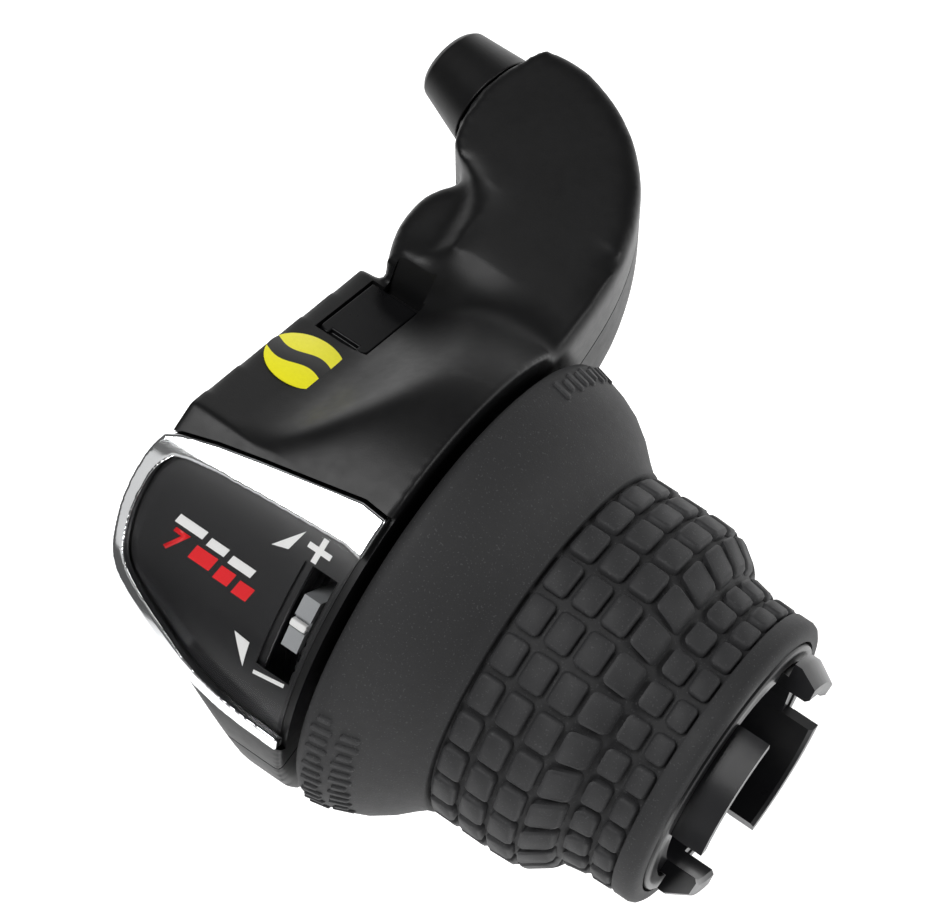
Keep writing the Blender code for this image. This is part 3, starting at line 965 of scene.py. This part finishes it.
@dataclass
class Indicator:
    """Chrome frame, clear window, black dial mask with a slot for the pointer line, and dial prints."""

    middle: float = -25.0
    radii: Point = (26.2, 27.45)
    window_radii: Point = (26.25, 27.0)
    frame_corners: Outline = ((0.0, 10.0), (-1.1, 6.7), (-1.1, 1.2), (0.0, -4.4), (1.9, -7.2),
                                        (14.0, -15.0), (30.0, -15.4), (30.0, 15.4))
    window_corners: Outline = (
        (2.2, 8.5), (0.5, 5.8), (0.4, 1.0), (1.3, -3.8), (3.1, -6.2), (14.4, -13.3), (30.0, -13.9),
        (30.0, 10.2))
    end: float = 23.4
    mask_radii: Point = (25.96, 26.06)
    slot_xs: Point = (18.3, 22.4)
    slot_angles: Point = (-40.2, -12.1)
    print_radius: float = 26.06

    red_bars: tuple[tuple[float, Point], ...] = (
        (2.6, (7.4, -26.8)), (1.8, (10.6, -27.5)), (1.8, (13.0, -28.0)))
    white_bars: tuple[tuple[float, Point], ...] = (
        (3.4, (4.6, -21.3)), (2.2, (8.6, -21.9)), (2.8, (11.4, -22.5)))
    marks: tuple[tuple[Outline, Point], ...] = (
        (((-1.35, -0.3), (1.35, -0.3), (1.35, 0.3), (-1.35, 0.3)), (19.1, -8.6)),
        (((-0.3, 0.3), (0.3, 0.3), (0.3, 1.35), (-0.3, 1.35)), (19.1, -8.6)),
        (((-0.3, -1.35), (0.3, -1.35), (0.3, -0.3), (-0.3, -0.3)), (19.1, -8.6)),
        (((-1.5, -1.3), (0.25, -0.75), (0.9, 1.7)), (16.0, -10.4)),
        (((-1.8, -0.5), (1.8, 0.2), (1.8, 0.7), (-1.8, 0.0)), (20.1, -42.3)),
        (((-1.1, 1.4), (0.95, -2.0), (0.8, 1.2)), (16.1, -39.0)))

    def rim(self) -> list[Point]:
        """Soft outline of the frame."""
        return softened(self.frame_corners, 2, 0.2)

    def opening(self) -> list[Point]:
        """Soft outline of the frame's opening."""
        return softened(self.window_corners, 2, 0.2)

    def trimmed(self, name: str, radii: Point, corners: Sequence[Point], xs: Point) -> Piece:
        """Curved plate cut to an outline seen square on."""
        plate = curved_plate(name, radii, xs, (self.middle - 42, self.middle + 42))
        return Bench.combine(plate, Join.KEEP, prism("cutter", corners, 15, 40, leaning(self.middle)))

    def on_dial(self, item: Piece, at: Point, thick: float = 0.05) -> Piece:
        """Wraps a flat shape of millimetres onto the dial.

        Args:
            item: The flat shape, whose X runs along the bar.
            at: Its place: distance along the bar and angle about it.
            thick: How far it stands out.

        Returns:
            The shape.
        """
        Bench.modify(item, "SOLIDIFY", thickness=thick, offset=0.0)
        for vertex in item.data.vertices:
            x, y, z = vertex.co
            around = math.degrees(y / self.print_radius)
            vertex.co = polar(at[0] + x, self.print_radius + z + thick / 2, at[1] + around)
        return item

    def flat(self, name: str, corners: Sequence[Point]) -> Piece:
        """Flat shape of millimetres, cut into narrow faces so that it can be wrapped."""
        bpy.ops.object.select_all(action="DESELECT")
        bpy.ops.mesh.primitive_circle_add(vertices=len(corners), radius=1, fill_type="NGON")
        item = Bench.named(name)
        for vertex, (x, y) in zip(item.data.vertices, corners):
            vertex.co = (x, y, 0)
        lowest, highest = min(y for _, y in corners), max(y for _, y in corners)
        level = lowest + 0.5
        while level < highest:
            Bench.edit(item, (bpy.ops.mesh.bisect, {"plane_co": (0, level, 0), "plane_no": (0, 1, 0)}))
            level += 0.5
        return item

    def numeral(self, body: str, size: float, at: Point) -> Piece:
        """Numeral on the dial."""
        bpy.ops.object.select_all(action="DESELECT")
        bpy.ops.object.text_add()
        text = bpy.context.view_layer.objects.active
        text.data.body, text.data.size, text.data.shear, text.data.offset = body, size, 0.25, 0.09
        bpy.ops.object.convert(target="MESH")
        return self.on_dial(Bench.named("dial_numeral"), at)

    def bar(self, width: float, height: float, slant: float = 0.25) -> list[Point]:
        """Corners of a slanted bar."""
        lean = height * slant
        return [(0, 0), (width, 0), (width + lean, height), (lean, height)]

    def build(self) -> None:
        """Makes the frame, the window and every print."""
        inner = self.opening()
        rim = self.trimmed("chrome_frame", self.radii, self.rim(), (-3, self.end))
        Bench.combine(rim, Join.CUT, prism("opening", inner, 15, 40, leaning(self.middle)))
        Bench.soften(rim, 0.11, 18)
        install(rim, "bracket", "chrome", "bezel", "bezel")
        window = self.trimmed("dial_window", self.window_radii, inset(inner, 0.3), (-3, self.end - 0.5))
        install(Bench.smooth(window, 40), "bracket", "smoked_clear", "lens", "lens")
        mask = self.trimmed("dial_mask", self.mask_radii, inset(inner, 0.1), (-3, self.end - 0.5))
        slot = curved_plate("cutter", (25.0, 27.0), self.slot_xs, self.slot_angles, 8, 16)
        Bench.combine(mask, Join.CUT, slot)
        install(Bench.smooth(mask, 40), "bracket", "dial_black", "dial_plate")
        install(self.numeral("7", 3.6, (4.3, -27.9)), "bracket", "print_red", "dial_plate")
        red = [self.on_dial(self.flat("red_bar", self.bar(width, 1.7)), at) for width, at in self.red_bars]
        install(Bench.merge("dial_red_bars", red), "bracket", "print_red", "dial_plate")
        white = [self.on_dial(self.flat("white_bar", self.bar(width, 1.0)), at)
                 for width, at in self.white_bars]
        white += [self.on_dial(self.flat("mark", corners), at) for corners, at in self.marks]
        install(Bench.merge("dial_white_marks", white), "bracket", "print_white", "dial_plate")


@dataclass
class Badge:
    """Round printed label on the facet."""

    centre: tuple[float, float, float] = (4.35, -5.32, 19.06)
    radius: float = 4.2
    thick: float = 0.12

    def build(self) -> None:
        """Makes the label as a thin disc with rounded edges."""
        low = self.centre[2]
        place = FACET @ Matrix.Translation((self.centre[0], self.centre[1], 0))
        item = Bench.cylinder("round_label", self.radius, low, low + self.thick, place, 72)
        Bench.round_edges(item, 0.05, 40)
        middle = place @ Vector((0, 0, low))
        FINISHES["round_label"] = Banded("round_label", (0.90, 0.84, 0.012), (0.012, 0.012, 0.012),
                                         tuple(middle), (FACET_TILT, 0.0, 0.0))
        install(Bench.smooth(item, 40), "bracket", "round_label", "upper_cover")


@dataclass
class Covers:
    """Upper and lower housing covers: one soft moulding, hollowed and split on a leaning plane."""

    radius: float = 27.0
    length: float = 23.7
    wall: float = 2.0
    arm_top: float = 17.0
    gap: float = 0.3
    grain: float = 0.42
    split: float = 4.12
    front_step: Point = (2.6, 22.0)
    bulge_top: float = 14.4
    ramp_start: float = 8.6
    ramp_angle: float = 40.0
    arm_slope: float = 0.343
    rear_lean: tuple[float, float, float] = (-0.42, -0.90, 0.108)
    rear_distance: float = 16.8
    screws: Outline = ((5.4, 28.1), (8.3, -17.3))
    fin_corners: Outline = (
        (24.2, 8.0), (24.2, 24.0), (23.6, 33.0), (20.6, 41.0), (15.6, 46.6), (9.0, 49.8), (3.6, 50.3),
        (1.4, 48.8), (-0.6, 40.5), (0.4, 34.6), (3.0, 33.2), (6.2, 31.6), (7.0, 24.0), (9.0, 8.0))
    bulge_corners: Outline = (
        (12.0, 33.0), (4.4, 33.2), (1.4, 31.0), (0.2, 27.0), (1.2, 22.6), (3.2, 19.0), (4.2, 10.0),
        (12.0, 10.0))

    soft: tuple[tuple[Matrix, Sequence[float], Sequence[float], int], ...] = (
        (ARM, (2.4, 20, -12), (30, 60, 25), 34), (ARM, (0, 21, 6), (13, 32.6, 25), 40),
        (ARM, (8, 8, 8), (22.9, 34, 25), 60), (FACET, (5.5, -19, 12), (22.9, 14, 27), 90))

    def block(self, corners: Sequence[Point], top: float, shrink: float) -> Piece:
        """Part of the arm: a thick soft outline over a sloping floor.

        Args:
            corners: The outline's corners in the arm's frame.
            top: Height of its upper face.
            shrink: How far every face is moved inward.

        Returns:
            The block.
        """
        item = prism("arm", inset(softened(corners, 2), shrink), -16, top - shrink, ARM)
        slope = (ARM @ Matrix.Translation((0, 20, -5 + shrink))
                 @ Matrix.Rotation(math.atan(self.arm_slope), 4, "X"))
        return Bench.combine(item, Join.CUT, Bench.block("under", (-30, -60, -60), (60, 60, 0), slope))

    def wedge(self, inward: float) -> Piece:
        """Everything beyond the flat facet, which ramps back out to the rim."""
        ramp = math.radians(self.ramp_angle)
        low, start = FACET_HEIGHT - inward, self.ramp_start + inward * math.tan(ramp / 2)
        end, high = start + 30 * math.cos(ramp), low + 30 * math.sin(ramp)
        across = FACET @ Matrix(((1, 0, 0, 0), (0, 0, 1, 0), (0, 1, 0, 0), (0, 0, 0, 1)))
        return prism("wedge", ((-9, low), (start, low), (end, high), (-9, high)), -30, 12 + inward, across)

    def front(self, inward: float) -> Piece:
        """Everything before the step on the inboard side."""
        depth, start = self.front_step
        return Bench.block("front", (-2, start - inward, -40), (depth + inward, 60, 40), Matrix())

    def rear(self, inward: float) -> Piece:
        """Everything behind the slanted face that trims the rear inboard side."""
        lean = Vector(self.rear_lean)
        place = lean.normalized().to_track_quat("Z", "X").to_matrix().to_4x4()
        return Bench.block("rear", (-70, -70, self.rear_distance / lean.length - inward), (70, 70, 70), place)

    def near(self, place: Matrix, low: Sequence[float], high: Sequence[float]) -> Callable[[Any], bool]:
        """Test for points inside a box of a frame, in millimetres."""
        back = place.inverted()

        def inside(vertex: Any) -> bool:
            """Says whether the vertex is in the box."""
            local = back @ (vertex.co / MM)
            return all(a <= c <= b for a, c, b in zip(low, local, high))
        return inside

    def relax(self, item: Piece, test: Callable[[Any], bool], rounds: int) -> None:
        """Smooths the part of a cover that passes a test."""
        Bench.edit_where(item, "VERT", test, (bpy.ops.mesh.vertices_smooth, {"factor": 0.5, "repeat": rounds}))

    def moulding(self) -> Piece:
        """Solid outer form with its soft arm, bulge, saddle and facet."""
        item = Bench.cylinder("moulding", self.radius, 0, self.length, BAR, 160)
        Bench.combine(item, Join.CUT, self.front(0.0))
        Bench.combine(item, Join.ADD, self.block(self.fin_corners, self.arm_top, 0.0),
                      self.block(self.bulge_corners, self.bulge_top, 0.0),
                      Bench.cylinder("root", 5.75, -8, 0.25, OUTLET, 48))
        Bench.combine(item, Join.CUT, self.wedge(0.0), self.rear(0.0))
        Bench.modify(item, "REMESH", mode="VOXEL", voxel_size=self.grain * MM, adaptivity=0.0)
        self.relax(item, lambda vertex: True, 4)
        for place, low, high, rounds in self.soft:
            self.relax(item, self.near(place, low, high), rounds)
        return item

    def hollow(self) -> Piece:
        """Room inside both covers."""
        room = Bench.cylinder("room", self.radius - self.wall, 1.8, self.length - 1.3, BAR, 96)
        Bench.combine(room, Join.CUT, self.front(self.wall))
        Bench.combine(room, Join.ADD, self.block(self.fin_corners, self.arm_top, 2.4))
        Bench.combine(room, Join.CUT, self.wedge(2.2), self.rear(self.wall))
        for at in self.screws:
            Bench.combine(room, Join.CUT, Bench.cylinder("boss", 3.0, -40, 40, self.seat(*at), 32))
        return room

    def seat(self, x: float, y: float) -> Matrix:
        """Frame of a cover screw on the parting plane."""
        tilt = math.radians(SPLIT_TILT)
        return Matrix.Translation((x, y, (self.split - y * math.sin(tilt)) / math.cos(tilt))) @ SPLIT

    def half(self, item: Piece, name: str, upper: bool) -> Piece:
        """One cover, kept from a copy of the hollow moulding.

        Args:
            item: The hollow moulding.
            name: The cover's name.
            upper: Whether the upper one is kept.

        Returns:
            The cover.
        """
        cover = item.copy()
        cover.data = item.data.copy()
        cover.name = cover.data.name = name
        bpy.context.scene.collection.objects.link(cover)
        level = self.split + self.gap / 2 if upper else self.split - self.gap / 2
        span = (level, 80) if upper else (-80, level)
        Bench.combine(cover, Join.KEEP, Bench.block("half", (-80, -80, span[0]), (80, 80, span[1]), SPLIT))
        return Bench.smooth(cover, 40)

    def build(self) -> None:
        """Makes both covers."""
        item = self.moulding()
        bed = Indicator()
        Bench.combine(item, Join.CUT, self.hollow(),
                      Bench.cylinder("bar_hole", 14.6, -1, 3, BAR, 96),
                      Bench.cylinder("drum_hole", 17.4, 22, 25, BAR, 96),
                      Bench.cylinder("socket", 3.8, -6, 1, OUTLET, 32),
                      Bench.cylinder("key_hole", 3.2, 10.5, 40, CLAMP_BOLT, 32),
                      bed.trimmed("bed", (25.9, 29.0), inset(bed.rim(), -0.25), (-3, bed.end + 0.3)),
                      bed.trimmed("window", (22.5, 29.0), inset(bed.opening(), 0.8), (-3, 22.2)),
                      Bench.block("lid_bed", (1.9, 0.2, 17.55), (8.3, 11.1, 23), FACET),
                      Bench.block("pocket", (3.4, 11.0, 17.8), (8.0, 12.3, 24), FACET))
        for at in self.screws:
            Bench.combine(item, Join.CUT, Bench.cylinder("head_room", 2.3, -40, -6.6, self.seat(*at), 32))
        install(self.half(item, "cover_upper", True), "bracket", "satin_black", "upper_cover", "upper_cover")
        install(self.half(item, "cover_lower", False), "bracket", "satin_lower", "lower_cover", "lower_cover")
        bpy.data.objects.remove(item)


@dataclass
class Studio:
    """Pale floor, soft lights and the camera."""

    floor: float = -0.13
    eye: tuple[float, float, float] = (0.117393, 0.011760, 0.382133)
    right: tuple[float, float, float] = (0.80853, 0.55051, -0.20788)
    up: tuple[float, float, float] = (-0.53317, 0.83483, 0.13708)
    back: tuple[float, float, float] = (0.24901, 0.0, 0.96850)
    lens: float = 147.41
    sensor: float = 36.0
    aim: tuple[float, float, float] = (0.03, 0, 0)
    world_strength: float = 0.10
    lamps: tuple[tuple[str, tuple[float, float, float], Point, float], ...] = (
        ("key", (-0.19, 0.10, 0.76), (0.22, 0.58), 4.8), ("low", (-0.20, -0.72, 0.75), (0.5, 0.85), 0.8),
        ("side", (0.75, 0.45, 0.30), (0.4, 0.4), 2.6), ("rear", (0.35, -0.75, 0.30), (0.5, 0.3), 3.0))

    def lamp(self, name: str, place: Sequence[float], size: Point, power: float) -> None:
        """Soft rectangular light that faces the object."""
        data = bpy.data.lights.new(name, "AREA")
        data.shape, data.size, data.size_y, data.energy = "RECTANGLE", size[0], size[1], power
        lamp = bpy.data.objects.new(name, data)
        bpy.context.scene.collection.objects.link(lamp)
        lamp.location = place
        back = (Vector(place) - Vector(self.aim)).normalized()
        across = Vector((0, 1, 0)).cross(back).normalized()
        lamp.rotation_euler = Matrix((across, back.cross(across), back)).transposed().to_euler()

    def build(self) -> None:
        """Makes the floor, the lights, the surroundings and the camera."""
        bpy.ops.object.select_all(action="DESELECT")
        bpy.ops.mesh.primitive_plane_add(size=4, location=(0, 0, self.floor))
        floor = Bench.settle(Bench.named("studio_floor"))
        recipe = Recipe("studio_floor_finish")
        soft = recipe.noise(recipe.place(), 40.0, 2.0)
        floor.data.materials.append(recipe.finish(recipe.node("ShaderNodeBsdfPrincipled", {}, {
            "Base Color": recipe.mixed(soft, (0.93, 0.93, 0.93), (0.95, 0.95, 0.95)), "Roughness": 0.9,
            "Emission Color": (1, 1, 1, 1), "Emission Strength": 0.75})))
        world = bpy.data.worlds.new("studio_world")
        world.use_nodes = True
        world.node_tree.nodes["Background"].inputs["Color"].default_value = (1, 1, 1, 1)
        world.node_tree.nodes["Background"].inputs["Strength"].default_value = self.world_strength
        bpy.context.scene.world = world
        bpy.context.scene.view_settings.view_transform = "Standard"
        for lamp in self.lamps:
            self.lamp(*lamp)
        camera = bpy.data.cameras.new("camera")
        camera.lens, camera.sensor_width, camera.sensor_fit = self.lens, self.sensor, "HORIZONTAL"
        camera.clip_start, camera.clip_end = 0.01, 20.0
        holder = bpy.data.objects.new("camera", camera)
        bpy.context.scene.collection.objects.link(holder)
        turn = Matrix((self.right, self.up, self.back)).transposed().to_4x4()
        holder.matrix_world = Matrix.Translation(self.eye) @ turn
        bpy.context.scene.camera = holder


def main() -> None:
    """Builds every sub-assembly in order."""
    logging.basicConfig(level=logging.INFO, format="%(message)s")
    kept = {*frame["nodes"].values(), *frame["bodies"].values()}
    for item in [item for item in bpy.data.objects if item not in kept]:
        bpy.data.objects.remove(item)
    for assembly in (Covers(), Fittings(), Drum(), Grip(), Indicator(), Badge(), Studio()):
        LOG.info("building %s", type(assembly).__name__.lower())
        assembly.build()
    bpy.ops.object.select_all(action="DESELECT")


if __name__ == "__main__":
    main()
